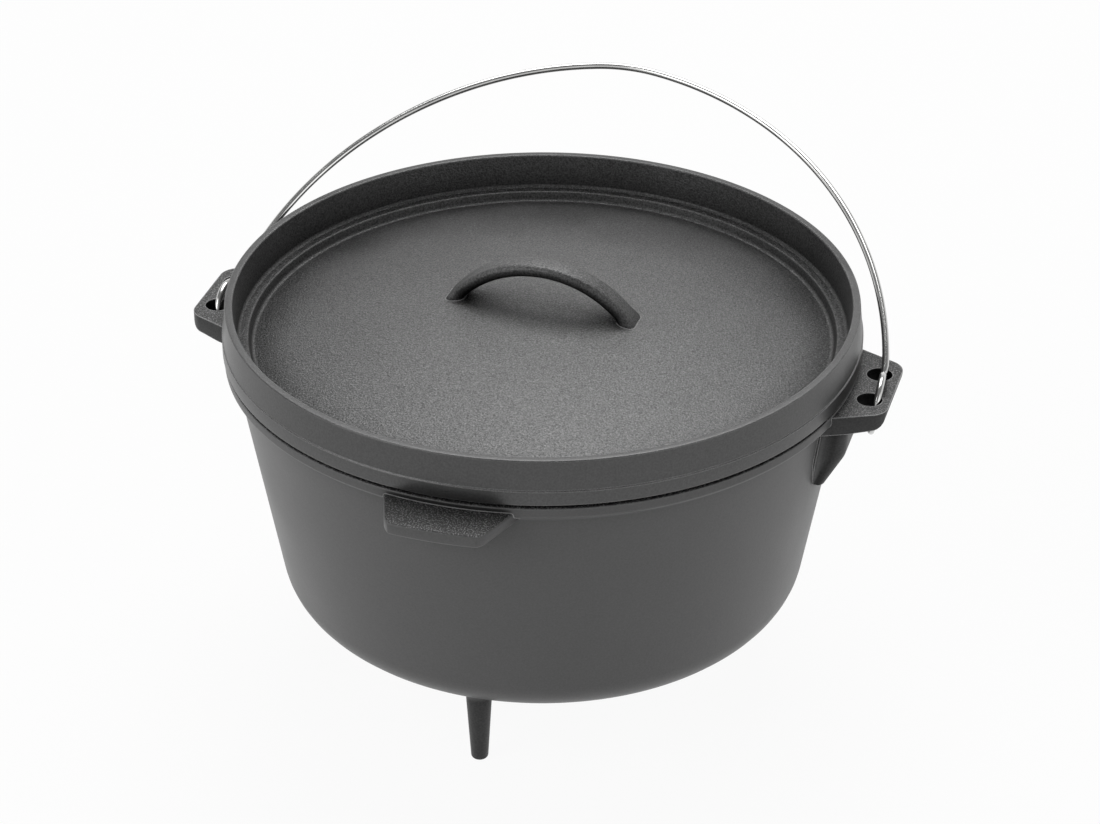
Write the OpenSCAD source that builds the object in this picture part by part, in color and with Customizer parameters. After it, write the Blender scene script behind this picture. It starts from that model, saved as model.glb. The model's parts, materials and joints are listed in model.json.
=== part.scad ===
// Camp dutch oven: a footed cast pot with two bail ears and two grips, a flanged lid that holds coals
// on its top, and a loose wire bail. Millimetres, +Z up. The origin is on the ground under the pot's
// axis, +X runs from ear to ear and -Y points at the front grip.

/* [Pot] */
// Outside diameter of the wall at the rim
rim_d = 315; // [240:1:380]
// Height from the underside of the floor to the rim
pot_h = 141; // [100:1:180]
// Thickness of the wall, measured level
wall = 5; // [3.5:0.5:8]
// Thickness of the floor
floor_t = 6; // [4:0.5:10]
// Lean of the wall, in degrees from upright
wall_draft = 9.8; // [3:0.1:13]
// Outside radius between wall and floor
corner_r = 24; // [12:1:34]
// How far the rim's bead stands out from the wall
rim_proud = 3.7; // [0.5:0.1:4]
// Height of the rim's bead
rim_h = 5; // [2:0.5:7]

/* [Legs] */
// Height of the floor above the ground
leg_h = 41; // [25:1:60]
// Distance of a leg's axis inside the corner where wall and floor would meet
leg_inset = 19; // [10:1:40]
// Diameter of a leg where it leaves the floor
leg_top_d = 13.5; // [9:0.5:20]
// Diameter of a leg near the ground
leg_foot_d = 8.6; // [5:0.2:12]
// Rounding at the edge of a foot
leg_foot_r = 1.8; // [0.5:0.1:2.2]

/* [Ears] */
// Reach of an ear beyond the rim
ear_out = 24.5; // [20:0.5:35]
// Width of an ear at the rim
ear_w_in = 71; // [56:1:90]
// Width of an ear at its outer edge
ear_w_out = 49; // [44:1:60]
// Radius of an ear's outer corners
ear_corner_r = 10; // [3:0.5:14]
// Thickness of an ear's plate
ear_t = 8.5; // [6:0.5:12]
// Depth of an ear's top below the rim
ear_drop = 0.6; // [0.3:0.1:3]
// Distance from an ear's outer edge to the centres of its holes
hole_inset = 10.5; // [9:0.5:14]
// Diameter of the two holes in an ear
hole_d = 12.8; // [10:0.2:14]
// Spacing of the two holes in an ear
hole_pitch = 25.4; // [23:0.1:30]
// Gap between the bracket under an ear and the bail's eye
bracket_gap = 1.4; // [1.1:0.1:4]
// Depth of the bracket's foot below the rim
bracket_h = 47; // [30:1:60]
// Width of the bracket under the plate
bracket_w_in = 60; // [50:1:70]
// Width of the bracket at its foot
bracket_w = 50; // [40:1:66]

/* [Grips] */
// Reach of a grip beyond the rim
grip_out = 26; // [15:0.5:40]
// Width of a grip at the rim
grip_w_in = 64.5; // [50:0.5:90]
// Width of a grip at its outer edge
grip_w_out = 45.5; // [36:0.5:50]
// Radius of a grip's outer corners
grip_corner_r = 11; // [3:0.5:14]
// Thickness of a grip
grip_t = 6.5; // [4:0.5:12]
// Depth of a grip's top below the rim
grip_drop = 2.7; // [1:0.1:8]

/* [Lid] */
// Overhang of the lid's lower band beyond the pot's wall at the rim
lid_over = 4.5; // [2:0.5:10]
// Height of the lid from its seat to the top of its flange
lid_h = 25.5; // [22:0.5:32]
// Height of the lower band above the seat
band_h = 9.7; // [6:0.1:12]
// Depth of the step between the two bands
band_step = 0.5; // [0.2:0.1:1.5]
// How far the upper band leans in towards its top
band_lean = 1.5; // [0:0.1:4]
// Thickness of the flange at its top
flange_t = 4; // [2.5:0.5:6]
// Lean of the flange's inner face
flange_lean = 1.6; // [0:0.1:3]
// Height above the seat of the ledge inside the flange
ledge_h = 7; // [5:0.5:9]
// Width of that ledge
ledge_w = 5.5; // [3:0.5:9]
// Drop from the ledge to the edge of the dome
step_h = 5; // [2:0.5:5.5]
// Width of the slope from the ledge to the edge of the dome
step_w = 1.8; // [1.5:0.1:8]
// Height of the dome's centre above its edge
dome_rise = 17.5; // [8:0.1:19]
// Thickness of the domed plate
plate_t = 5; // [4:0.5:8]
// Gap that shows between the lid's outer edge and the rim
edge_gap = 2; // [0.4:0.1:3]
// Depth of the locating lip below the plate
lip_h = 1.5; // [1:0.5:4]
// Width of the locating lip
lip_w = 4; // [3:0.5:6]
// Clearance of the locating lip in the mouth
lip_clear = 1.8; // [1.5:0.1:3]

/* [Lid handle] */
// Distance between the handle's two feet, centre to centre
handle_span = 91.5; // [70:0.5:110]
// Finger room between the dome and the handle's crown
finger_gap = 17.5; // [15:0.5:30]
// Width of the handle
handle_w = 13; // [9:0.5:18]
// Thickness of the handle
handle_t = 6.5; // [5:0.5:10]
// Diameter of the handle's feet on the dome
foot_d = 16; // [14:0.5:26]
// Height of the handle's feet
foot_h = 6; // [3:0.5:9]
// How far the loose lid is turned on the pot, in degrees
lid_turn = -1.7; // [-20:0.1:20]

/* [Bail] */
// Diameter of the wire
wire_d = 3.6; // [3:0.1:5]
// Depth of the eyes' centres below the ears' tops
pivot_drop = 9.1; // [7:0.1:11]
// Clearance between an eye and the web between the holes
eye_clear = 0.6; // [0.3:0.1:2]
// Gap between an eye's tip and the neck
eye_gap = 0.8; // [0.4:0.1:3]
// Bend radius where the wire turns into an eye
neck_r = 6; // [4:0.5:9]
// Straight part of the neck
neck_len = 1; // [1:0.5:8]
// Inward bend of the wire above the neck, in degrees
toe = 9.3; // [4:0.1:11]
// Radius of that bend
toe_r = 12; // [8:1:40]
// How far each side's centre lies past the middle, which peaks the crown
peak = 14.5; // [4:0.1:18]
// Radius of the crown
crown_r = 100; // [30:1:120]
// How far the front of an eye stands out beyond its middle
eye_sway = 2.1; // [0:0.1:3]
// How far the loose bail hangs to one side
bail_shift = 1.7; // [-2:0.1:2]
// Gap between the leaning wire and the edge of the hole that stops it
rest_gap = 0.4; // [0.3:0.1:1.5]

/* [Hidden] */
$fn = 96;
iron = "dimgray";
steel = "silver";

// Steps used for a rounded corner and for the curve of the dome
corner_steps = 8;
dome_steps = 12;
// Extra length of a cutting tool past the face that it leaves
past = 1;

rim_r = rim_d / 2;
mouth_r = rim_r - wall;
slope = tan(wall_draft);
rim_z = leg_h + pot_h;
floor_r = rim_r - pot_h * slope;
leg_r = floor_r - leg_inset;
leg_angles = [-90, 30, 150];

ear_x = rim_r + ear_out;
ear_z = rim_z - ear_drop;
hole_x = ear_x - hole_inset;
hole_r = hole_d / 2;
grip_r = rim_r + grip_out;
grip_z = rim_z - grip_drop;

base_r = rim_r + lid_over;
flange_r = base_r - band_step - band_lean;
flange_in_r = flange_r - flange_t;
lid_top_z = rim_z + lid_h;
tray_z = rim_z + ledge_h;
tray_r = flange_in_r - flange_lean;
lip_r = mouth_r - lip_clear;
lip_in_r = lip_r - lip_w;
ledge_r = tray_r - ledge_w;
dome_r = ledge_r - step_w;
edge_z = tray_z - step_h;
dome_z = edge_z + dome_rise;

// Small steps and roundings of the castings
rim_edge_r = 0.5;
ear_tip_lean = 1.5;
ear_tip_r = 5;
ear_under_r = 0.8;
bracket_lean = 1.6;
bracket_r = 16;
bracket_toe = 3;
bracket_toe_r = 2;
lid_edge_r = 0.8;
seat_inset = 0.5;
lip_taper = 0.5;
lip_edge_r = 1;
tray_fillet_r = 2;
ledge_edge_r = 1;
trough_r = 2;

wire_r = wire_d / 2;
pivot_z = ear_z - pivot_drop;
eye_off = abs(bail_shift) + eye_sway;
web_half = hole_pitch / 2 - sqrt(hole_r^2 - eye_off^2);
eye_r = norm([web_half, pivot_drop]) + eye_clear + wire_r;
eye_turn = asin(eye_sway / eye_r);
stop_y = hole_pitch / 2 + hole_r - rest_gap;
lean = atan2(stop_y, pivot_drop) - asin(wire_r / norm([stop_y, pivot_drop]));

// Runs of the bail in its own upright frame, with the pivot axis at height 0
joint_gap = 0.02;
bend_r = eye_r + neck_r;
neck_z = sqrt(bend_r^2 - neck_r^2);
neck_turn = atan2(neck_z, neck_r);
tip_r = neck_r + wire_d + eye_gap;
eye_open = acos((eye_r^2 + bend_r^2 - tip_r^2) / (2 * eye_r * bend_r));
toe_z = neck_z + neck_len;
side_x = hole_x - toe_r * (1 - cos(toe));
side_r = (side_x + peak) / cos(toe);
side_z = toe_z + (toe_r - side_r) * sin(toe);
crown_z = side_z + sqrt((side_r - crown_r)^2 - peak^2);
crown_turn = atan2(crown_z - side_z, peak);

// Points of a rounded corner at b, between the edges from a and to c
function corner(a, b, c, r, n = corner_steps) =
    let (u = (a - b) / norm(a - b), v = (c - b) / norm(c - b))
    let (half = acos(u * v) / 2)
    let (middle = b + (u + v) / norm(u + v) * r / sin(half))
    let (from = b + u * r / tan(half) - middle, to = b + v * r / tan(half) - middle)
    let (a0 = atan2(from[1], from[0]), turn = atan2(to[1], to[0]) - a0)
    let (sweep = turn > 180 ? turn - 360 : turn < -180 ? turn + 360 : turn)
    [for (i = [0 : n]) middle + r * [cos(a0 + sweep * i / n), sin(a0 + sweep * i / n)]];

// Closed outline through corners given as [x, y, radius], a radius of 0 being a sharp corner
function outline(list) = [
    for (i = [0 : len(list) - 1])
        let (a = list[(i + len(list) - 1) % len(list)], b = list[i], c = list[(i + 1) % len(list)])
        each b[2] == 0 ? [[b[0], b[1]]]
            : corner([a[0], a[1]], [b[0], b[1]], [c[0], c[1]], b[2])
];

// Radius of the pot's outside and height of the dome's top
function wall_r(z) = rim_r - (rim_z - z) * slope;
function dome_top(r) = dome_z - dome_rise * (r / dome_r)^2;

// Half width at x of a plate that tapers from w_in at the rim to w_out at its outer edge x_out
function taper(x, x_out, w_in, w_out) =
    w_out / 2 + (x_out - x) * (w_in - w_out) / 2 / (x_out - rim_r);

// Pot

module pot_outside() {
    bead_z = rim_z - rim_h;
    rotate_extrude()
        polygon(outline([
            [0, leg_h, 0],
            [floor_r, leg_h, corner_r],
            [wall_r(bead_z - rim_proud), bead_z - rim_proud, 0],
            [rim_r + rim_proud, bead_z, 0],
            [rim_r + rim_proud, rim_z, rim_edge_r],
            [0, rim_z, 0]
        ]));
}

module pot_inside() {
    floor_z = leg_h + floor_t;
    top_z = rim_z + past;
    rotate_extrude()
        polygon(outline([
            [0, floor_z, 0],
            [wall_r(floor_z) - wall, floor_z, corner_r - wall],
            [wall_r(top_z) - wall, top_z, 0],
            [0, top_z, 0]
        ]));
}

// A plate that stands out along +X, wide at the pot and narrow at its outer edge
module plate_plan(x_out, w_in, w_out, r) {
    x_in = floor_r;
    deep = taper(x_in, x_out, w_in, w_out);
    polygon(outline([
        [x_in, -deep, 0],
        [x_out, -w_out / 2, r],
        [x_out, w_out / 2, r],
        [x_in, deep, 0]
    ]));
}

// Side view of an ear: the plate, its rounded outer edge and the bracket that carries it
module ear_side() {
    under_z = ear_z - ear_t;
    bracket_x = hole_x - eye_off - wire_r - bracket_gap;
    foot_z = rim_z - bracket_h;
    foot_x = wall_r(foot_z) + bracket_toe;
    rotate([90, 0, 0])
        linear_extrude(height = 2 * ear_w_in, center = true)
            polygon(outline([
                [floor_r, ear_z, 0],
                [ear_x, ear_z, 0],
                [ear_x - ear_tip_lean, under_z, ear_tip_r],
                [bracket_x, under_z - ear_tip_lean, ear_under_r],
                [bracket_x - bracket_lean, (under_z + foot_z) / 2, bracket_r],
                [foot_x, foot_z, bracket_toe_r],
                [floor_r, foot_z, 0]
            ]));
}

// Front view of an ear: the bracket narrows towards its foot
module ear_front() {
    under_z = ear_z - ear_t;
    foot_z = rim_z - bracket_h;
    rotate([90, 0, 90])
        linear_extrude(height = ear_x + past)
            polygon([
                [-ear_w_in, ear_z + past],
                [-ear_w_in, under_z - past],
                [-bracket_w_in / 2, under_z - past],
                [-bracket_w / 2, foot_z - past],
                [bracket_w / 2, foot_z - past],
                [bracket_w_in / 2, under_z - past],
                [ear_w_in, under_z - past],
                [ear_w_in, ear_z + past]
            ]);
}

module ear() {
    intersection() {
        translate([0, 0, rim_z - bracket_h - past])
            linear_extrude(height = bracket_h + past)
                plate_plan(ear_x, ear_w_in, ear_w_out, ear_corner_r);
        ear_side();
        ear_front();
    }
}

module ear_holes() {
    for (side = [-1, 1])
        translate([hole_x, side * hole_pitch / 2, ear_z - ear_t - 2 * past])
            cylinder(d = hole_d, h = ear_t + 3 * past);
}

// A grip's outer edge runs round the pot's axis
module grip() {
    intersection() {
        translate([0, 0, grip_z - grip_t])
            linear_extrude(height = grip_t)
                plate_plan(grip_r + past, grip_w_in, grip_w_out, grip_corner_r);
        translate([0, 0, grip_z - grip_t])
            cylinder(r = grip_r, h = grip_t);
    }
}

// A tapered peg that runs up into the floor
module leg() {
    top_z = leg_h + floor_t / 2;
    rotate_extrude()
        polygon(outline([
            [0, 0, 0],
            [leg_foot_d / 2, 0, leg_foot_r],
            [leg_top_d / 2, leg_h, 0],
            [leg_top_d / 2, top_z, 0],
            [0, top_z, 0]
        ]));
}

module pot() {
    color(iron)
        difference() {
            union() {
                pot_outside();
                for (a = [0, 180]) rotate([0, 0, a]) ear();
                for (a = [-90, 90]) rotate([0, 0, a]) grip();
                for (a = leg_angles) rotate([0, 0, a]) translate([leg_r, 0, 0]) leg();
            }
            pot_inside();
            for (a = [0, 180]) rotate([0, 0, a]) ear_holes();
        }
}

// Lid

module lid_plate() {
    seat_r = rim_r - seat_inset;
    band_z = rim_z + band_h;
    under_z = dome_top(lip_in_r) - plate_t;
    lip_z = under_z - lip_h;
    first_r = dome_r * (1 - 1 / dome_steps);
    rotate_extrude()
        polygon(concat(
            outline([
                [lip_in_r, under_z, 0],
                [lip_in_r + lip_taper, lip_z, lip_edge_r],
                [lip_r, lip_z, lip_edge_r],
                [lip_r, rim_z, 0],
                [seat_r, rim_z, 0],
                [seat_r, rim_z + edge_gap, 0],
                [base_r, rim_z + edge_gap, lid_edge_r],
                [base_r, band_z, 0],
                [base_r - band_step, band_z + band_step, 0],
                [flange_r, lid_top_z, lid_edge_r],
                [flange_in_r, lid_top_z, lid_edge_r],
                [tray_r, tray_z, tray_fillet_r],
                [ledge_r, tray_z, ledge_edge_r],
                [dome_r, edge_z, trough_r],
                [first_r, dome_top(first_r), 0]
            ]),
            [for (i = [2 : dome_steps]) let (r = dome_r * (1 - i / dome_steps)) [r, dome_top(r)]],
            [for (i = [0 : dome_steps - 1]) let (r = lip_in_r * i / dome_steps) [r, dome_top(r) - plate_t]]
        ));
}

// The arch is round in side view, with a flat oval section
module handle_arch() {
    foot_z = dome_top(handle_span / 2);
    top_z = dome_z + finger_gap + handle_t / 2;
    rise = top_z - foot_z;
    arch_r = ((handle_span / 2)^2 + rise^2) / (2 * rise);
    flat = handle_w - handle_t;
    half_turn = asin((handle_span / 2) / arch_r);
    translate([0, 0, top_z - arch_r])
        rotate([90, 0, 0])
            rotate([0, 0, 90 - half_turn])
                rotate_extrude(angle = 2 * half_turn)
                    translate([arch_r, 0])
                        union() {
                            square([handle_t, flat], center = true);
                            for (side = [-1, 1]) translate([0, side * flat / 2]) circle(d = handle_t);
                        }
}

module handle_feet() {
    foot_z = dome_top(handle_span / 2) - plate_t / 2;
    for (side = [-1, 1])
        translate([side * handle_span / 2, 0, foot_z])
            cylinder(d1 = foot_d, d2 = handle_t, h = foot_h + plate_t / 2);
}

module lid() {
    color(iron) {
        lid_plate();
        rotate([0, 0, lid_turn]) {
            handle_arch();
            handle_feet();
        }
    }
}

// Bail, built upright in the XZ plane about its pivot axis and then leaned back. Its runs of wire stop
// just short of each other, and a ball a hair thicker than the wire joins each two.

module wire(r, angle) {
    trim = atan(joint_gap / r);
    rotate([0, 0, trim])
        rotate_extrude(angle = angle - 2 * trim)
            translate([r, 0])
                circle(d = wire_d);
}

module joint() {
    sphere(d = wire_d + joint_gap);
}

// A joint at an angle on a bend, with its poles along the wire
module joint_on(r, angle) {
    rotate([0, 0, angle]) translate([r, 0, 0]) rotate([90, 0, 0]) joint();
}

module bail_side() {
    translate([hole_x, 0, 0]) {
        rotate([0, 0, eye_turn])
            rotate([90, 0, 90]) {
                rotate([0, 0, neck_turn + eye_open]) wire(eye_r, 360 - eye_open);
                joint_on(eye_r, neck_turn);
                translate([neck_r, neck_z, 0]) rotate([0, 0, 180]) wire(neck_r, neck_turn);
            }
        translate([0, 0, neck_z]) joint();
        translate([0, 0, neck_z + joint_gap]) cylinder(d = wire_d, h = neck_len - 2 * joint_gap);
        translate([0, 0, toe_z]) joint();
    }
    rotate([90, 0, 0]) {
        translate([hole_x - toe_r, toe_z, 0]) wire(toe_r, toe);
        translate([-peak, side_z, 0]) {
            joint_on(side_r, toe);
            rotate([0, 0, toe]) wire(side_r, crown_turn - toe);
        }
        translate([0, crown_z, 0]) {
            joint_on(crown_r, crown_turn);
            rotate([0, 0, crown_turn]) wire(crown_r, 90 - crown_turn);
        }
    }
}

module bail() {
    color(steel)
        translate([bail_shift, 0, pivot_z])
            rotate([-lean, 0, 0]) {
                bail_side();
                mirror([1, 0, 0]) bail_side();
                translate([0, 0, crown_z]) rotate([90, 0, 0]) joint_on(crown_r, 90);
            }
}

pot();
lid();
bail();
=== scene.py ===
"""Camp dutch oven: finished castings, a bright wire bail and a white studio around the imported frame.

Lengths are millimetres in the frame's axes until a mesh is made, which turns them into metres. Named
angles are degrees.
"""

import json
import math

import bmesh
import bpy
from mathutils import Matrix, Vector


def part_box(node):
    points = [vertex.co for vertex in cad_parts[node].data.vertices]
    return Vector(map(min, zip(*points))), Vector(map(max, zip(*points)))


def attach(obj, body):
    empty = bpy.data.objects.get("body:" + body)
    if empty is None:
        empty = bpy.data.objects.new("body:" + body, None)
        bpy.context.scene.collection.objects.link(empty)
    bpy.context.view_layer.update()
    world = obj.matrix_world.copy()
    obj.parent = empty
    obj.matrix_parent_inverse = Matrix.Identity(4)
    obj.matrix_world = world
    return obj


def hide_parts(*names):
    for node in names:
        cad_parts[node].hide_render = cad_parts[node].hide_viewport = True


MM = 0.001

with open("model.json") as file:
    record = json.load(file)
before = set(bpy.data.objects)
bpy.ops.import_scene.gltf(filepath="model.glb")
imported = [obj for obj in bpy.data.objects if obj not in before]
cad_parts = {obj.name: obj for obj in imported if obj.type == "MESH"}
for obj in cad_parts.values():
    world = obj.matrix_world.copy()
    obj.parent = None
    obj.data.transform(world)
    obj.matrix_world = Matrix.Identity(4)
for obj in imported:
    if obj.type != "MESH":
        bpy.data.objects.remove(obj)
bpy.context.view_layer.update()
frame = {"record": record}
pot_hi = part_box("pot")[1] / MM
lid_lo, lid_hi = (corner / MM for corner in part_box("lid"))
joints = {joint["name"]: joint for joint in frame["record"]["behaviour"]["joints"]}

# Pot
POT_H = 141
WALL = 5
FLOOR_T = 6
WALL_DRAFT = 9.8
CORNER_R = 24
RIM_PROUD = 3.7
RIM_H = 5
BEAD_UNDER_R = 3
BEAD_EDGE_R = 2
RIM_EDGE_R = 0.8
MOUTH_EDGE_R = 0.5
EAR_OUT = 24.5
EAR_X = pot_hi.x
RIM_R = EAR_X - EAR_OUT
RIM_Z = pot_hi.z
LEG_H = RIM_Z - POT_H
WALL_SLOPE = math.tan(math.radians(WALL_DRAFT))
FLOOR_R = RIM_R - POT_H * WALL_SLOPE

# Bail
WIRE_R = 1.8
REST_GAP = 0.4
EYE_CLEAR = 0.6
EYE_GAP = 0.8
EYE_SWAY = 2.1
BAIL_SHIFT = 1.7
NECK_R = 6
NECK_LEN = 1
TOE = 9.3
TOE_R = 12
PEAK = 14.5
CROWN_R = 100
EYE_OFF = BAIL_SHIFT + EYE_SWAY
PIVOT_Z = joints["bail_swing"]["pos_m"][2] / MM

# Ears and their brackets
EAR_W_IN = 71
EAR_W_OUT = 49
EAR_CORNER_R = 10
EAR_T = 8.5
EAR_DROP = 0.6
EAR_TIP_LEAN = 1.5
EAR_TIP_R = 5
EAR_SOFT_R = 0.8
HOLE_INSET = 10.5
HOLE_R = 6.4
HOLE_PITCH = 25.4
BRACKET_GAP = 1.4
BRACKET_LEAN = 1.6
BRACKET_H = 47
BRACKET_W_IN = 60
BRACKET_W = 50
BRACKET_R = 16
BRACKET_TOE = 3
BRACKET_TOE_R = 2
BRACKET_FILLET = 7
BRACKET_EDGE_R = 8
# Most of a bracket's depth that its hollow side and its round edge take
HOLLOW_SHARE = 0.5
EDGE_SHARE = 0.45
# Share of the hollow's size that is left at the foot, and share of the height over which it grows
HOLLOW_LEAST = 0.1
HOLLOW_GROWTH = 0.35
EAR_Z = RIM_Z - EAR_DROP
EAR_UNDER_Z = EAR_Z - EAR_T
EAR_LOW_Z = EAR_UNDER_Z - 2 * EAR_TIP_LEAN
HOLE_X = EAR_X - HOLE_INSET
BRACKET_X = HOLE_X - EYE_OFF - WIRE_R - BRACKET_GAP

# Grips
GRIP_W_IN = 64.5
GRIP_W_OUT = 45.5
GRIP_CORNER_R = 11
GRIP_T = 6.5
GRIP_DROP = 2.7
GRIP_SOFT_R = 1.4
GRIP_R = pot_hi.y
GRIP_Z = RIM_Z - GRIP_DROP

# Legs, which end inside the floor with a little of it left above them
LEG_ANGLES = (-90, 30, 150)
LEG_INSET = 19
LEG_TOP_R = 6.75
LEG_FOOT_R = 4.3
LEG_FOOT_EDGE_R = 1.8
LEG_FLARE = 3
LEG_FLARE_R = 9
LEG_COVER = 2
LEG_R = FLOOR_R - LEG_INSET
LEG_END_Z = LEG_H + FLOOR_T - LEG_COVER

# Lid
LID_H = 25.5
BAND_H = 9.7
BAND_STEP = 0.5
BAND_LEAN = 1.5
BAND_EDGE_R = 0.4
FLANGE_T = 4
FLANGE_LEAN = 1.6
LID_EDGE_R = 0.8
TRAY_FILLET_R = 2
LEDGE_H = 7
LEDGE_W = 5.5
LEDGE_EDGE_R = 1
STEP_H = 5
STEP_W = 1.8
TROUGH_R = 2
DOME_RISE = 17.5
PLATE_T = 5
EDGE_GAP = 2
SEAT_INSET = 0.5
LIP_CLEAR = 1.8
LIP_W = 4
LIP_TAPER = 0.5
LIP_EDGE_R = 1
LID_TURN = -1.7
BASE_R = lid_hi.x
FLANGE_R = BASE_R - BAND_STEP - BAND_LEAN
FLANGE_IN_R = FLANGE_R - FLANGE_T
LID_TOP_Z = RIM_Z + LID_H
TRAY_Z = RIM_Z + LEDGE_H
TRAY_R = FLANGE_IN_R - FLANGE_LEAN
LEDGE_R = TRAY_R - LEDGE_W
DOME_R = LEDGE_R - STEP_W
DOME_EDGE_Z = TRAY_Z - STEP_H
DOME_Z = DOME_EDGE_Z + DOME_RISE
LIP_Z = lid_lo.z
LIP_R = RIM_R - WALL - LIP_CLEAR
LIP_IN_R = LIP_R - LIP_W

# Lid handle, whose arch runs on below the dome by the angle FOOT_REACH
HANDLE_SPAN = 91.5
HANDLE_W = 13
HANDLE_T = 6.5
HANDLE_EDGE_R = 2.9
FOOT_FLARE = 1.6
FOOT_FLARE_H = 5
FOOT_REACH = 9
HANDLE_TOP_Z = lid_hi.z - HANDLE_T / 2

# Steps of the curves
LATHE_STEPS = 288
DISC_STEPS = 96
CIRCLE_STEPS = 48
ARCH_STEPS = 72
DOME_STEPS = 24
SUNK_STEPS = 16
POT_STEPS = 10
EAR_STEPS = 8
CORNER_STEPS = 6
BRACKET_EDGE_STEPS = 5
SOFT_STEPS = 3
WIRE_SIDES = 24
CROWN_STEPS = 8
NECK_STEPS = 10
TOE_STEPS = 4
TIP_STEPS = 4

# Extra length of a shape past the face where it is cut or joined
PAST = 1
# Angle from which an edge counts as sharp
SHARP = 32

# Noises of the finishes, with their scale in waves per metre, and the range that holds most of a noise
CLOUDS = {"scale": 24, "detail": 4}
SKIN = {"scale": 230, "detail": 3}
SAND = {"scale": 1050, "detail": 2, "roughness": 0.6}
GLINT_NOISE = {"scale": 1300, "detail": 1}
HAZE = {"scale": 60, "detail": 3}
DRAWN = {"scale": 2500, "detail": 2}
NOISE_LOW = 0.3
NOISE_HIGH = 0.7

# Finishes of the iron: smooth wall; dark ears, whose finish also paints shade on the legs and on level
# tops; grainy lid; and the lid's bands
WALL_IRON = {
    "dark": 0.085, "light": 0.108, "roughness": 0.42, "shine": 0.42, "grain": 0.1, "glints": 0.8,
}
EAR_IRON_AND_SHADE = {
    "dark": 0.022, "light": 0.038, "roughness": 0.45, "shine": 0.35, "grain": 0.3, "glints": 0.4,
}
LID_IRON = {
    "dark": 0.006, "light": 0.045, "roughness": 0.43, "shine": 0.85, "grain": 0.8, "glints": 0.14,
}
BAND_IRON = {
    "dark": 0.01, "light": 0.02, "roughness": 0.36, "shine": 0.9, "grain": 0.2, "glints": 0.05,
}
# Shares of clouds and sand in the iron's tone, and how far they change its shine and roughness
CLOUD_SHARE = 0.4
SAND_SHARE = 0.6
SHINE_SPREAD = 0.6
GLOSS_SPREAD = 0.03
# Grey of bare metal on worn edges and of the painted glints, and the part of the glint noise that shows
# the glints
BARE_AND_GLINT_GREY = 0.45
GLINT_LOW = 0.52
GLINT_HIGH = 0.64
# Upward part of a normal at which a face starts to count as a level top, and at which it fully does
LEVEL_FROM = 0.6
LEVEL_FULL = 0.9
# Worn edges, lightened partly by wear and partly as a painted edge highlight: their radius, how far a
# rounded normal turns there, and how uneven the wear is
WEAR_GLEAM_R = 0.9
WEAR_GLEAM_SAMPLES = 6
WEAR_GLEAM_FROM = 0.995
WEAR_GLEAM_FULL = 0.93
WEAR_GLEAM_LOW = 0.35
WEAR_GLEAM_HIGH = 0.6
WEAR_GLEAM_LEAST = 0.75
# Painted shade in recesses: its reach, and the share of the tone and shine that is left in the deepest
# of them
RECESS = 30
RECESS_SAMPLES = 8
RECESS_DEEP = 0.45
RECESS_OPEN = 0.95
RECESS_LEAST = 0.1
# Bumps of the iron's skin and sand
SKIN_BUMP = 0.25
SKIN_DEPTH = 0.14
SAND_DEPTH = 0.15
# Borders of the two finishes on one casting
PROUD_FROM = 0.5
PROUD_FULL = 2.5
EAR_FADE = 2
LEG_FADE = 3
FLANGE_FADE = 1

# Polished wire
WIRE_DARK = (0.5, 0.5, 0.495, 1)
WIRE_LIGHT = (0.64, 0.64, 0.63, 1)
WIRE_GLOSS = 0.1
WIRE_HAZY = 0.16
DRAWN_GLOSS = 0.05
DRAWN_BUMP = 0.05
DRAWN_DEPTH = 0.05

# Studio: the world's light, the sky that is seen between two heights of view, and the floor
WHITE = (1, 1, 1, 1)
WORLD_LIGHT = 0.2
SKY_LOW = 0.25
SKY_HIGH = 0.7
SKY_TOP = 0.25
FLOOR_GREY = (0.8, 0.8, 0.8, 1)
FLOOR_GLOW = 0.94
FLOOR_HALF = 6000
FLOOR_CELLS = 8
# Name, place and size in metres, and power in watts of each square lamp
LAMPS = (
    ("key", (-1.2, -1.3, 1.4), 1.2, 12),
    ("fill", (1.5, -0.7, 0.9), 1.0, 3),
    ("top", (-0.15, 0.9, 1.95), 1.5, 32),
)

# Camera: direction and distance in metres from the middle of the lid's top, its aim and its lens
VIEW_YAW = 16.4
VIEW_PITCH = 28.96
VIEW_DISTANCE = 1.6647
CAMERA_TILT = 58.99
CAMERA_TURN = 16.2545
SENSOR_W = 36
FOCAL_LENGTH = 108


def wall_r(z):
    """Radius of the pot's outside at a height."""
    return RIM_R - (RIM_Z - z) * WALL_SLOPE


def dome_top(r):
    """Height of the lid's domed plate at a radius."""
    return DOME_Z - DOME_RISE * (r / DOME_R) ** 2


def arc(center, radius, start, end, steps):
    """Points of a circle in a plane, between two angles in degrees."""
    points = []
    for k in range(steps + 1):
        angle = math.radians(start + (end - start) * k / steps)
        points.append((center[0] + radius * math.cos(angle), center[1] + radius * math.sin(angle)))
    return points


def rounded(corners, steps=CORNER_STEPS):
    """Outline through (x, y, radius) corners, where a radius of 0 leaves a corner sharp."""
    points = []
    for i, (x, y, radius) in enumerate(corners):
        if radius == 0:
            points.append((x, y))
            continue
        here = Vector((x, y))
        back = (Vector(corners[i - 1][:2]) - here).normalized()
        on = (Vector(corners[(i + 1) % len(corners)][:2]) - here).normalized()
        half = back.angle(on) / 2
        center = here + (back + on).normalized() * radius / math.sin(half)
        first = here + back * radius / math.tan(half) - center
        last = here + on * radius / math.tan(half) - center
        start = math.degrees(math.atan2(first.y, first.x))
        sweep = (math.degrees(math.atan2(last.y, last.x)) - start + 180) % 360 - 180
        points += arc(center, radius, start, start + sweep, steps)
    return points


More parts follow.
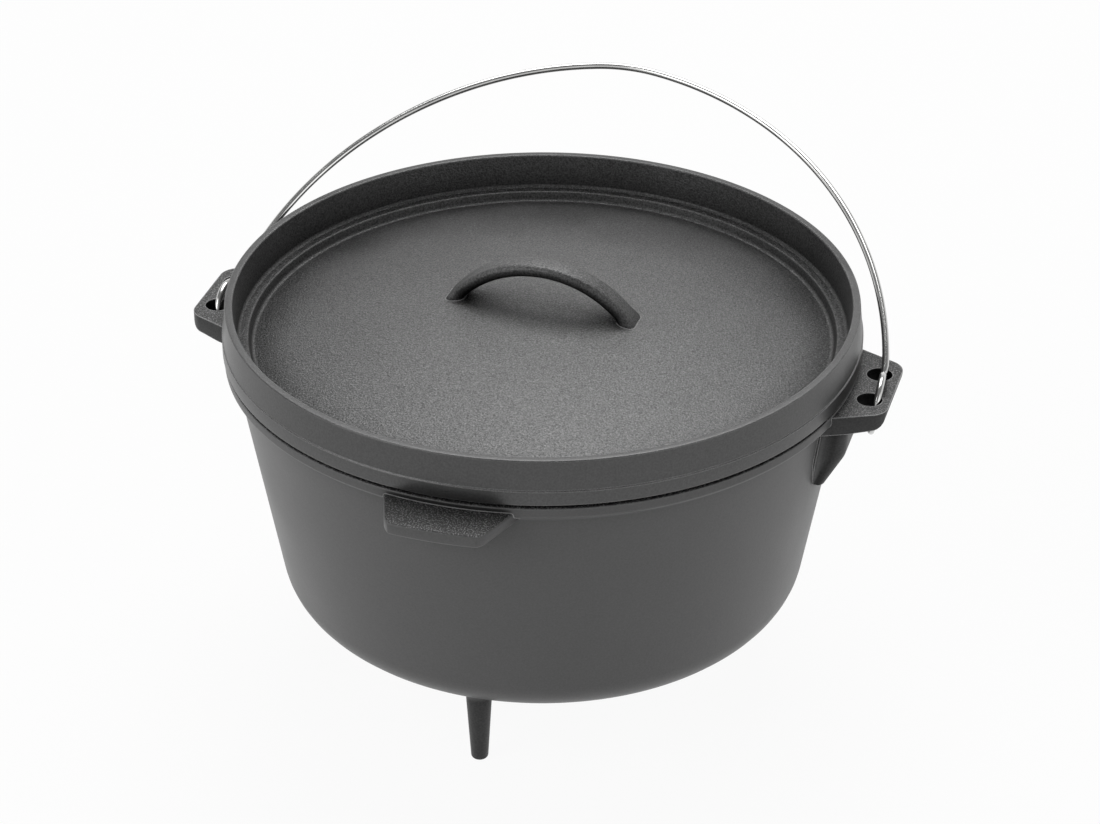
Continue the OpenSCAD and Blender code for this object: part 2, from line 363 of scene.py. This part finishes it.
def new_object(name, bm):
    """Turns a bmesh in millimetres into an object in metres with its faces turned outwards."""
    bmesh.ops.scale(bm, vec=(MM, MM, MM), verts=bm.verts)
    bmesh.ops.recalc_face_normals(bm, faces=bm.faces)
    mesh = bpy.data.meshes.new(name)
    bm.to_mesh(mesh)
    bm.free()
    made = bpy.data.objects.new(name, mesh)
    bpy.context.collection.objects.link(made)
    return made


def skin(bm, rings):
    """Joins neighbouring rings of vertices with faces. A ring of one vertex is a pole."""
    for low, high in zip(rings, rings[1:]):
        count = max(len(low), len(high))
        for k in range(count):
            around = [low[k % len(low)], low[(k + 1) % len(low)]]
            around += [high[(k + 1) % len(high)], high[k % len(high)]]
            bm.faces.new(dict.fromkeys(around))


def lathe(name, profile, steps=LATHE_STEPS):
    """Closed solid of revolution from (radius, height) points that start and end on the axis."""
    bm = bmesh.new()
    rings = []
    for radius, z in profile:
        count = steps if radius > 0 else 1
        turns = [2 * math.pi * k / steps for k in range(count)]
        rings.append([bm.verts.new((radius * math.cos(t), radius * math.sin(t), z)) for t in turns])
    skin(bm, rings)
    return new_object(name, bm)


def prism(name, outline, low, high, place):
    """Solid of an outline's shape between two heights, put in place by a matrix."""
    bm = bmesh.new()
    for z in (low, high):
        bm.faces.new([bm.verts.new((x, y, z)) for x, y in outline])
    bm.verts.ensure_lookup_table()
    count = len(outline)
    for k in range(count):
        on = (k + 1) % count
        bm.faces.new([bm.verts[i] for i in (k, on, count + on, count + k)])
    bmesh.ops.transform(bm, matrix=place, verts=bm.verts)
    return new_object(name, bm)


def apply_modifiers(target):
    """Replaces an object's mesh by what its modifiers make of it."""
    graph = bpy.context.evaluated_depsgraph_get()
    mesh = bpy.data.meshes.new_from_object(target.evaluated_get(graph))
    target.modifiers.clear()
    old = target.data
    target.data = mesh
    bpy.data.meshes.remove(old)


def combine(target, tool, operation):
    """Cuts, intersects or unites an object with another, which is used up."""
    change = target.modifiers.new("combine", "BOOLEAN")
    change.operation = operation
    change.solver = "EXACT"
    change.object = tool
    apply_modifiers(target)
    bpy.data.meshes.remove(tool.data)


def soften(target, width):
    """Rounds the sharp edges of an object."""
    bevel = target.modifiers.new("soften", "BEVEL")
    bevel.width = width * MM
    bevel.segments = SOFT_STEPS
    bevel.limit_method = "ANGLE"
    bevel.angle_limit = math.radians(SHARP)
    apply_modifiers(target)


def turn_z(target, degrees):
    """Turns an object's mesh about the pot's axis."""
    target.data.transform(Matrix.Rotation(math.radians(degrees), 4, "Z"))


def smooth(target):
    """Shades an object smoothly, except across its sharp edges."""
    target.data.shade_smooth()
    target.data.set_sharp_from_angle(angle=math.radians(SHARP))


def plate_plan(x_out, w_in, w_out, radius):
    """Plan of a plate that stands out along +X and narrows towards its outer edge."""
    deep = w_out / 2 + (x_out - FLOOR_R) * (w_in - w_out) / 2 / (x_out - RIM_R)
    return rounded([
        (FLOOR_R, -deep, 0),
        (x_out, -w_out / 2, radius),
        (x_out, w_out / 2, radius),
        (FLOOR_R, deep, 0),
    ], POT_STEPS)


def wall_core():
    """Solid that reaches the middle of the wall, to end the ears and grips inside the wall."""
    low = LEG_H
    high = RIM_Z + PAST
    inset = WALL / 2
    return lathe("core", [
        (0, low),
        (wall_r(low) - inset, low),
        (wall_r(high) - inset, high),
        (0, high),
    ])


def bracket():
    """The bracket under an ear: it narrows to its foot and runs into the wall in a hollow curve."""
    foot_z = RIM_Z - BRACKET_H
    foot_x = wall_r(foot_z) + BRACKET_TOE
    front = rounded([
        (0, foot_z, 0),
        (foot_x, foot_z, BRACKET_TOE_R),
        (BRACKET_X - BRACKET_LEAN, (EAR_UNDER_Z + foot_z) / 2, BRACKET_R),
        (BRACKET_X, EAR_UNDER_Z - EAR_TIP_LEAN, 0),
        (BRACKET_X, EAR_UNDER_Z + PAST, 0),
        (0, EAR_UNDER_Z + PAST, 0),
    ], EAR_STEPS)[1:-1]
    bm = bmesh.new()
    rings = []
    for x, z in front:
        part = (z - foot_z) / (EAR_UNDER_Z - foot_z)
        half = (BRACKET_W + (BRACKET_W_IN - BRACKET_W) * part) / 2
        wall_x = math.sqrt(wall_r(z) ** 2 - half ** 2)
        depth = x - wall_x
        growth = math.sin(min(part / HOLLOW_GROWTH, 1) * math.pi / 2)
        fade = HOLLOW_LEAST + (1 - HOLLOW_LEAST) * growth
        hollow = min(BRACKET_FILLET, depth * HOLLOW_SHARE) * fade
        edge = min(BRACKET_EDGE_R, depth * EDGE_SHARE)
        side = [(wall_x - 2 * WALL, half + hollow)]
        side += arc((wall_x + hollow, half + hollow), hollow, 180, 270, EAR_STEPS)
        side += arc((x - edge, half - edge), edge, 90, 0, BRACKET_EDGE_STEPS)
        outline = side + [(across, -y) for across, y in side[::-1]]
        rings.append([bm.verts.new((across, y, z)) for across, y in outline])
    skin(bm, rings)
    bm.faces.new(rings[0])
    bm.faces.new(rings[-1])
    return new_object("bracket", bm)


def ear():
    """An ear with its bracket and two holes, standing out along +X."""
    level = Matrix.Identity(4)
    upright = Matrix.Rotation(math.radians(90), 4, "X")
    plan = plate_plan(EAR_X, EAR_W_IN, EAR_W_OUT, EAR_CORNER_R)
    made = prism("ear", plan, EAR_LOW_Z, RIM_Z, level)
    side = rounded([
        (FLOOR_R, EAR_Z, 0),
        (EAR_X, EAR_Z, 0),
        (EAR_X - EAR_TIP_LEAN, EAR_UNDER_Z, EAR_TIP_R),
        (BRACKET_X, EAR_UNDER_Z - EAR_TIP_LEAN, 0),
        (FLOOR_R, EAR_UNDER_Z - EAR_TIP_LEAN, 0),
    ], EAR_STEPS)
    combine(made, prism("side", side, -EAR_W_IN, EAR_W_IN, upright), "INTERSECT")
    for y in (-HOLE_PITCH / 2, HOLE_PITCH / 2):
        ring = arc((HOLE_X, y), HOLE_R, 0, 360, CIRCLE_STEPS)[:-1]
        combine(made, prism("hole", ring, EAR_LOW_Z - PAST, EAR_Z + PAST, level), "DIFFERENCE")
    soften(made, EAR_SOFT_R)
    combine(made, bracket(), "UNION")
    combine(made, wall_core(), "DIFFERENCE")
    return made


def grip():
    """A grip whose outer edge runs round the pot's axis, standing out along +X."""
    low = GRIP_Z - GRIP_T
    plan = plate_plan(GRIP_R + PAST, GRIP_W_IN, GRIP_W_OUT, GRIP_CORNER_R)
    made = prism("grip", plan, low, GRIP_Z, Matrix.Identity(4))
    rim = lathe("rim", [
        (0, low - PAST),
        (GRIP_R, low - PAST),
        (GRIP_R, GRIP_Z + PAST),
        (0, GRIP_Z + PAST),
    ])
    combine(made, rim, "INTERSECT")
    soften(made, GRIP_SOFT_R)
    combine(made, wall_core(), "DIFFERENCE")
    return made


def leg():
    """A tapered leg that flares where it meets the floor, standing out along +X."""
    made = lathe("leg", rounded([
        (0, 0, 0),
        (LEG_FOOT_R, 0, LEG_FOOT_EDGE_R),
        (LEG_TOP_R, LEG_H, LEG_FLARE_R),
        (LEG_TOP_R + LEG_FLARE, LEG_END_Z, 0),
        (0, LEG_END_Z, 0),
    ]), CIRCLE_STEPS)
    made.data.transform(Matrix.Translation((LEG_R * MM, 0, 0)))
    return made


def pot():
    """The whole pot casting."""
    floor_z = LEG_H + FLOOR_T
    bead_z = RIM_Z - RIM_H
    made = lathe("pot_casting", rounded([
        (0, LEG_H, 0),
        (FLOOR_R, LEG_H, CORNER_R),
        (wall_r(bead_z - RIM_PROUD), bead_z - RIM_PROUD, BEAD_UNDER_R),
        (RIM_R + RIM_PROUD, bead_z, BEAD_EDGE_R),
        (RIM_R + RIM_PROUD, RIM_Z, RIM_EDGE_R),
        (RIM_R - WALL, RIM_Z, MOUTH_EDGE_R),
        (wall_r(floor_z) - WALL, floor_z, CORNER_R - WALL),
        (0, floor_z, 0),
    ], POT_STEPS))
    for piece, angles in ((ear, (0, 180)), (grip, (-90, 90)), (leg, LEG_ANGLES)):
        for angle in angles:
            joined = piece()
            turn_z(joined, angle)
            combine(made, joined, "UNION")
    smooth(made)
    return made


def handle():
    """The lid's arched handle, whose flat section grows a little where it meets the dome."""
    half = HANDLE_SPAN / 2
    rise = HANDLE_TOP_Z - dome_top(half)
    arch_r = (half ** 2 + rise ** 2) / (2 * rise)
    arch_z = HANDLE_TOP_Z - arch_r
    reach = math.degrees(math.asin(half / arch_r)) + FOOT_REACH
    bm = bmesh.new()
    rings = []
    for along, up in arc((0, arch_z), arch_r, 90 + reach, 90 - reach, ARCH_STEPS):
        out = Vector((along, 0, up - arch_z)).normalized()
        low = min(max(1 - (up - dome_top(along)) / FOOT_FLARE_H, 0), 1)
        wide = HANDLE_W / 2 + FOOT_FLARE * low ** 2
        inside = -HANDLE_T / 2 - FOOT_FLARE * low ** 2
        section = rounded([
            (-wide, inside, HANDLE_EDGE_R),
            (wide, inside, HANDLE_EDGE_R),
            (wide, HANDLE_T / 2, HANDLE_EDGE_R),
            (-wide, HANDLE_T / 2, HANDLE_EDGE_R),
        ])
        middle = Vector((along, 0, up))
        rings.append([bm.verts.new(middle + Vector((0, y, 0)) + out * t) for y, t in section])
    skin(bm, rings)
    bm.faces.new(rings[0])
    bm.faces.new(rings[-1])
    made = new_object("handle", bm)
    sunk = [HANDLE_SPAN * k / SUNK_STEPS for k in range(SUNK_STEPS + 1)]
    above = [(radius, dome_top(radius) - PLATE_T / 2) for radius in sunk]
    above += [(HANDLE_SPAN, lid_hi.z + PAST), (0, lid_hi.z + PAST)]
    combine(made, lathe("above", above, DISC_STEPS), "INTERSECT")
    return made


def lid():
    """The lid casting with its coal flange, rings, locating lip and handle."""
    band_z = RIM_Z + BAND_H
    edge_z = RIM_Z + EDGE_GAP
    seat_r = RIM_R - SEAT_INSET
    under = [LIP_IN_R * k / DOME_STEPS for k in range(DOME_STEPS)]
    dome = [DOME_R * (1 - k / DOME_STEPS) for k in range(1, DOME_STEPS + 1)]
    edge = rounded([
        (LIP_IN_R, dome_top(LIP_IN_R) - PLATE_T, 0),
        (LIP_IN_R + LIP_TAPER, LIP_Z, LIP_EDGE_R),
        (LIP_R, LIP_Z, LIP_EDGE_R),
        (LIP_R, RIM_Z, 0),
        (seat_r, RIM_Z, 0),
        (seat_r, edge_z, 0),
        (BASE_R, edge_z, LID_EDGE_R),
        (BASE_R, band_z, BAND_EDGE_R),
        (BASE_R - BAND_STEP, band_z + BAND_STEP, BAND_EDGE_R),
        (FLANGE_R, LID_TOP_Z, LID_EDGE_R),
        (FLANGE_IN_R, LID_TOP_Z, LID_EDGE_R),
        (TRAY_R, TRAY_Z, TRAY_FILLET_R),
        (LEDGE_R, TRAY_Z, LEDGE_EDGE_R),
        (DOME_R, DOME_EDGE_Z, TROUGH_R),
        (dome[0], dome_top(dome[0]), 0),
    ])
    profile = [(radius, dome_top(radius) - PLATE_T) for radius in under]
    profile += edge
    profile += [(radius, dome_top(radius)) for radius in dome[1:]]
    made = lathe("lid_casting", profile)
    grasp = handle()
    turn_z(grasp, LID_TURN)
    combine(made, grasp, "UNION")
    smooth(made)
    return made


def bail_path():
    """Middle line of the wire, from the left eye's tip to the right one, as it leans on the ears."""
    drop = EAR_Z - PIVOT_Z
    stop = HOLE_PITCH / 2 + HOLE_R - REST_GAP
    lean = math.atan2(stop, drop) - math.asin(WIRE_R / math.hypot(stop, drop))
    web_half = HOLE_PITCH / 2 - math.sqrt(HOLE_R ** 2 - EYE_OFF ** 2)
    eye_r = math.hypot(web_half, drop) + EYE_CLEAR + WIRE_R
    bend_r = eye_r + NECK_R
    neck_z = math.sqrt(bend_r ** 2 - NECK_R ** 2)
    neck_turn = math.degrees(math.atan2(neck_z, NECK_R))
    tip_r = NECK_R + 2 * WIRE_R + EYE_GAP
    tip_cos = (eye_r ** 2 + bend_r ** 2 - tip_r ** 2) / (2 * eye_r * bend_r)
    eye_open = math.degrees(math.acos(tip_cos))
    toe_z = neck_z + NECK_LEN
    toe = math.radians(TOE)
    side_r = (HOLE_X - TOE_R * (1 - math.cos(toe)) + PEAK) / math.cos(toe)
    side_z = toe_z + (TOE_R - side_r) * math.sin(toe)
    crown_z = side_z + math.sqrt((side_r - CROWN_R) ** 2 - PEAK ** 2)
    crown_turn = math.degrees(math.atan2(crown_z - side_z, PEAK))

    eye = arc((0, 0), eye_r, neck_turn + eye_open, neck_turn + 360, CIRCLE_STEPS)
    eye += arc((NECK_R, neck_z), NECK_R, 180 + neck_turn, 180, NECK_STEPS)[1:]
    arch = arc((HOLE_X - TOE_R, toe_z), TOE_R, 0, TOE, TOE_STEPS)
    arch += arc((-PEAK, side_z), side_r, TOE, crown_turn, ARCH_STEPS)[1:]
    arch += arc((0, crown_z), CROWN_R, crown_turn, 90, CROWN_STEPS)[1:]
    sway = Matrix.Translation((HOLE_X, 0, 0)) @ Matrix.Rotation(math.asin(EYE_SWAY / eye_r), 4, "Z")
    right = [sway @ Vector((0, y, z)) for y, z in eye] + [Vector((x, 0, z)) for x, z in arch]
    left = [Vector((-x, y, z)) for x, y, z in right[:-1]]
    place = Matrix.Translation((BAIL_SHIFT, 0, PIVOT_Z)) @ Matrix.Rotation(-lean, 4, "X")
    return [place @ spot for spot in left + right[::-1]]


def wire_ring(bm, center, radius, direction, normal):
    """Vertices of a circle around the wire's middle line."""
    other = direction.cross(normal)
    turns = [2 * math.pi * k / WIRE_SIDES for k in range(WIRE_SIDES)]
    spots = [center + radius * (normal * math.cos(t) + other * math.sin(t)) for t in turns]
    return [bm.verts.new(spot) for spot in spots]


def wire_tip(bm, center, direction, normal, sign):
    """Rings of the wire's rounded tip, from its pole inwards."""
    rings = [[bm.verts.new(center + direction * sign * WIRE_R)]]
    for k in range(1, TIP_STEPS):
        angle = math.pi / 2 * k / TIP_STEPS
        spot = center + direction * sign * WIRE_R * math.cos(angle)
        rings.append(wire_ring(bm, spot, WIRE_R * math.sin(angle), direction, normal))
    return rings


def bail():
    """The wire bail, a round tube with rounded tips along its middle line."""
    path = bail_path()
    bm = bmesh.new()
    along = (path[1] - path[0]).normalized()
    across = along.orthogonal().normalized()
    rings = wire_tip(bm, path[0], along, across, -1)
    for i, spot in enumerate(path):
        before = path[max(i - 1, 0)]
        after = path[min(i + 1, len(path) - 1)]
        turned = (after - before).normalized()
        across = along.rotation_difference(turned) @ across
        along = turned
        rings.append(wire_ring(bm, spot, WIRE_R, along, across))
    rings += wire_tip(bm, path[-1], along, across, 1)[::-1]
    skin(bm, rings)
    made = new_object("bail_wire", bm)
    smooth(made)
    return made


class Nodes:
    """Short way to write a node tree: add() makes a node, and a setting may be a socket to link."""

    def __init__(self, tree):
        self.tree = tree
        tree.nodes.clear()

    def add(self, kind, inputs=None, **settings):
        node = self.tree.nodes.new(kind)
        for name, value in settings.items():
            setattr(node, name, value)
        for name, value in (inputs or {}).items():
            if isinstance(value, bpy.types.NodeSocket):
                self.tree.links.new(value, node.inputs[name])
            else:
                node.inputs[name].default_value = value
        return node

    def noise(self, place, scale, detail, roughness=0.5):
        made = self.add("ShaderNodeTexNoise", {
            "Vector": place, "Scale": scale, "Detail": detail, "Roughness": roughness})
        return made.outputs["Fac"]

    def span(self, value, low, high, to_low=0, to_high=1):
        """Maps one range of values to another and stops at its ends."""
        made = self.add("ShaderNodeMapRange", {
            "Value": value, "From Min": low, "From Max": high, "To Min": to_low, "To Max": to_high})
        return made.outputs["Result"]

    def spread(self, noise, to_low=0, to_high=1):
        """Maps the range that holds most of a noise to another."""
        return self.span(noise, NOISE_LOW, NOISE_HIGH, to_low, to_high)

    def math(self, operation, first, second):
        return self.add("ShaderNodeMath", {0: first, 1: second}, operation=operation).outputs[0]

    def mix(self, factor, first, second):
        made = self.add("ShaderNodeMix", {"Factor": factor, 6: first, 7: second}, data_type="RGBA")
        return made.outputs[2]


def from_axis(nodes, place):
    """Coordinates of a spot, and its distance from the pot's axis."""
    spot = nodes.add("ShaderNodeSeparateXYZ", {0: place}).outputs
    flat = nodes.add("ShaderNodeCombineXYZ", {"X": spot["X"], "Y": spot["Y"]}).outputs[0]
    radius = nodes.add("ShaderNodeVectorMath", {0: flat}, operation="LENGTH").outputs["Value"]
    return spot, radius


def facing_up(nodes, normal):
    """1 on level tops, 0 on steep faces."""
    up = nodes.add("ShaderNodeSeparateXYZ", {0: normal}).outputs["Z"]
    return nodes.span(up, LEVEL_FROM, LEVEL_FULL)


def ears_and_painted_shade(nodes, place):
    """1 on the ears with their brackets, and as painted shade on the legs and on level tops; 0 on the
    rest of the pot.
    """
    spot, radius = from_axis(nodes, place)
    wall = nodes.add("ShaderNodeMath", {0: spot["Z"], 1: WALL_SLOPE, 2: wall_r(0) * MM},
                     operation="MULTIPLY_ADD").outputs[0]
    proud = nodes.span(nodes.math("SUBTRACT", radius, wall), PROUD_FROM * MM, PROUD_FULL * MM)
    sideways = nodes.add("ShaderNodeMath", {0: spot["Y"]}, operation="ABSOLUTE").outputs[0]
    near = nodes.span(sideways, EAR_W_IN / 2 * MM, (EAR_W_IN / 2 + EAR_FADE) * MM, 1, 0)
    # Painted shade: the legs under the pot and all level tops take the ears' dark finish
    legs = nodes.span(spot["Z"], LEG_H * MM, (LEG_H - LEG_FADE) * MM)
    tops = facing_up(nodes, nodes.add("ShaderNodeNewGeometry").outputs["Normal"])
    stubs = nodes.math("MAXIMUM", nodes.math("MULTIPLY", proud, near), legs)
    return nodes.math("MAXIMUM", stubs, tops)


def lid_edge(nodes, place):
    """1 on the top of the lid's flange and on its outer bands, 0 inside them."""
    radius = from_axis(nodes, place)[1]
    return nodes.span(radius, FLANGE_IN_R * MM, (FLANGE_IN_R + FLANGE_FADE) * MM)


def painted_recess_shade(nodes):
    """Painted shade: 1 where the surface lies open, and less the deeper it lies in a recess."""
    hidden = nodes.add("ShaderNodeAmbientOcclusion", {"Distance": RECESS * MM},
                       samples=RECESS_SAMPLES, only_local=True)
    return nodes.span(hidden.outputs["AO"], RECESS_DEEP, RECESS_OPEN, RECESS_LEAST, 1)


def worn_and_highlit_edges(nodes, normal, skin_noise):
    """How far an edge is worn to bare metal and lightened as a painted edge highlight, from 0 to 1."""
    bevel = nodes.add("ShaderNodeBevel", {"Radius": WEAR_GLEAM_R * MM}, samples=WEAR_GLEAM_SAMPLES)
    facing = nodes.add("ShaderNodeVectorMath", {0: bevel.outputs[0], 1: normal}, operation="DOT_PRODUCT")
    worn = nodes.span(facing.outputs["Value"], WEAR_GLEAM_FROM, WEAR_GLEAM_FULL)
    return nodes.math("MULTIPLY", worn, nodes.span(skin_noise, WEAR_GLEAM_LOW, WEAR_GLEAM_HIGH, WEAR_GLEAM_LEAST, 1))


def painted_glints(nodes, place, normal, amount):
    """Painted glints: bright spots on level tops, from 0 to 1."""
    glint_spots = nodes.span(nodes.noise(place, **GLINT_NOISE), GLINT_LOW, GLINT_HIGH)
    return nodes.math("MULTIPLY", nodes.math("MULTIPLY", glint_spots, amount), facing_up(nodes, normal))


def cast_iron(name, finish, other, where):
    """Seasoned sand-cast iron with grain, painted glints on level tops, worn edges that also carry a
    painted edge highlight, and painted shade in recesses, in two finishes parted by a mask.
    """
    material = bpy.data.materials.new(name)
    material.use_nodes = True
    nodes = Nodes(material.node_tree)
    place = nodes.add("ShaderNodeTexCoord").outputs["Object"]
    normal = nodes.add("ShaderNodeNewGeometry").outputs["Normal"]
    mask = where(nodes, place)
    value = {key: nodes.span(mask, 0, 1, finish[key], other[key]) for key in finish}
    cloud = nodes.spread(nodes.noise(place, **CLOUDS))
    skin_noise = nodes.noise(place, **SKIN)
    sand = nodes.spread(nodes.noise(place, **SAND))
    # Painted shade: the tone and the shine are darkened in recesses
    recess_shade = painted_recess_shade(nodes)

    clouded = nodes.math("MULTIPLY", cloud, CLOUD_SHARE)
    tone = nodes.math("ADD", clouded, nodes.math("MULTIPLY", sand, SAND_SHARE))
    grey = nodes.math("MULTIPLY", nodes.span(tone, 0, 1, value["dark"], value["light"]), recess_shade)
    # Painted glints: bright spots of bare grey on level tops
    glints = painted_glints(nodes, place, normal, value["glints"])
    # Worn edges, which are wear and a painted edge highlight, turn the tone to bare grey, as do the
    # painted glints
    bare = nodes.math("MAXIMUM", worn_and_highlit_edges(nodes, normal, skin_noise), glints)
    grey = nodes.span(bare, 0, 1, grey, BARE_AND_GLINT_GREY)
    colour = nodes.add("ShaderNodeCombineColor", {"Red": grey, "Green": grey, "Blue": grey})

    grain = nodes.math("MULTIPLY", nodes.span(sand, 0, 1, -SHINE_SPREAD, SHINE_SPREAD), value["grain"])
    shine = nodes.math("MULTIPLY", value["shine"], nodes.math("ADD", grain, 1))
    shine = nodes.math("MULTIPLY", shine, recess_shade)
    uneven_gloss = nodes.span(cloud, 0, 1, -GLOSS_SPREAD, GLOSS_SPREAD)
    gloss = nodes.math("ADD", value["roughness"], uneven_gloss)

    uneven = nodes.add("ShaderNodeBump", {
        "Height": skin_noise, "Strength": SKIN_BUMP, "Distance": SKIN_DEPTH * MM})
    pits = nodes.add("ShaderNodeBump", {
        "Height": sand, "Strength": value["grain"], "Distance": SAND_DEPTH * MM,
        "Normal": uneven.outputs[0]})
    shader = nodes.add("ShaderNodeBsdfPrincipled", {
        "Base Color": colour.outputs[0], "Roughness": gloss, "Specular IOR Level": shine,
        "Normal": pits.outputs[0]})
    nodes.add("ShaderNodeOutputMaterial", {"Surface": shader.outputs[0]})
    return material


def bright_wire(name):
    """Polished steel wire with faint marks from drawing."""
    material = bpy.data.materials.new(name)
    material.use_nodes = True
    nodes = Nodes(material.node_tree)
    place = nodes.add("ShaderNodeTexCoord").outputs["Object"]
    haze = nodes.noise(place, **HAZE)
    drawn = nodes.noise(place, **DRAWN)
    colour = nodes.mix(nodes.spread(haze), WIRE_DARK, WIRE_LIGHT)
    hazy = nodes.spread(haze, WIRE_GLOSS, WIRE_HAZY)
    gloss = nodes.math("ADD", hazy, nodes.spread(drawn, 0, DRAWN_GLOSS))
    marks = nodes.add("ShaderNodeBump", {
        "Height": drawn, "Strength": DRAWN_BUMP, "Distance": DRAWN_DEPTH * MM})
    shader = nodes.add("ShaderNodeBsdfPrincipled", {
        "Base Color": colour, "Metallic": 1, "Roughness": gloss, "Normal": marks.outputs[0]})
    nodes.add("ShaderNodeOutputMaterial", {"Surface": shader.outputs[0]})
    return material


def seen_directly(nodes):
    """1 for rays that show the background: from the camera, in gloss or through glass."""
    path = nodes.add("ShaderNodeLightPath").outputs
    either = nodes.math("MAXIMUM", path["Is Camera Ray"], path["Is Glossy Ray"])
    return nodes.math("MAXIMUM", either, path["Is Transmission Ray"])


def white_world():
    """A world that is seen as white near the horizon and lights the object evenly."""
    world = bpy.data.worlds.new("studio")
    world.use_nodes = True
    nodes = Nodes(world.node_tree)
    way = nodes.add("ShaderNodeTexCoord").outputs["Generated"]
    height = nodes.add("ShaderNodeSeparateXYZ", {0: way}).outputs["Z"]
    seen = nodes.span(height, SKY_LOW, SKY_HIGH, 1, SKY_TOP)
    level = nodes.span(seen_directly(nodes), 0, 1, WORLD_LIGHT, seen)
    sky = nodes.add("ShaderNodeBackground", {"Color": WHITE, "Strength": level})
    nodes.add("ShaderNodeOutputWorld", {"Surface": sky.outputs[0]})
    return world


def pale_floor():
    """A wide floor that is seen as nearly white and keeps a soft shadow."""
    bm = bmesh.new()
    bmesh.ops.create_grid(bm, x_segments=FLOOR_CELLS, y_segments=FLOOR_CELLS, size=FLOOR_HALF)
    floor = new_object("floor", bm)
    material = bpy.data.materials.new("floor")
    material.use_nodes = True
    nodes = Nodes(material.node_tree)
    matt = nodes.add("ShaderNodeBsdfDiffuse", {"Color": FLOOR_GREY})
    glow = nodes.add("ShaderNodeEmission", {"Color": WHITE, "Strength": 1})
    share = nodes.math("MULTIPLY", seen_directly(nodes), FLOOR_GLOW)
    both = nodes.add("ShaderNodeMixShader", {0: share, 1: matt.outputs[0], 2: glow.outputs[0]})
    nodes.add("ShaderNodeOutputMaterial", {"Surface": both.outputs[0]})
    floor.data.materials.append(material)
    return floor


def studio():
    """White floor and world, soft lamps, and the camera at the photograph's viewing angle."""
    scene = bpy.context.scene
    scene.view_settings.view_transform = "Standard"
    scene.world = white_world()
    floor = pale_floor()

    target = Vector((0, 0, RIM_Z * MM))
    for name, spot, size, power in LAMPS:
        light = bpy.data.lights.new(name, "AREA")
        light.shape = "SQUARE"
        light.size = size
        light.energy = power
        lamp = bpy.data.objects.new(name, light)
        lamp.location = spot
        lamp.rotation_euler = (target - lamp.location).to_track_quat("-Z", "Y").to_euler()
        scene.collection.objects.link(lamp)

    lens = bpy.data.cameras.new("camera")
    lens.sensor_fit = "HORIZONTAL"
    lens.sensor_width = SENSOR_W
    lens.lens = FOCAL_LENGTH
    camera = bpy.data.objects.new("camera", lens)
    yaw = math.radians(VIEW_YAW)
    pitch = math.radians(VIEW_PITCH)
    away = Vector((math.sin(yaw) * math.cos(pitch), -math.cos(yaw) * math.cos(pitch), math.sin(pitch)))
    camera.location = Vector((0, 0, LID_TOP_Z * MM)) + away * VIEW_DISTANCE
    camera.rotation_euler = (math.radians(CAMERA_TILT), 0, math.radians(CAMERA_TURN))
    scene.collection.objects.link(camera)
    scene.camera = camera


finishes = {
    "pot": cast_iron("pot_iron", WALL_IRON, EAR_IRON_AND_SHADE, ears_and_painted_shade),
    "lid": cast_iron("lid_iron", LID_IRON, BAND_IRON, lid_edge),
    "bail": bright_wire("bail_steel"),
}
for body, make in (("pot", pot), ("lid", lid), ("bail", bail)):
    piece = make()
    piece.data.materials.clear()
    piece.data.materials.append(finishes[body])
    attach(piece, body)
    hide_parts(body)

studio()
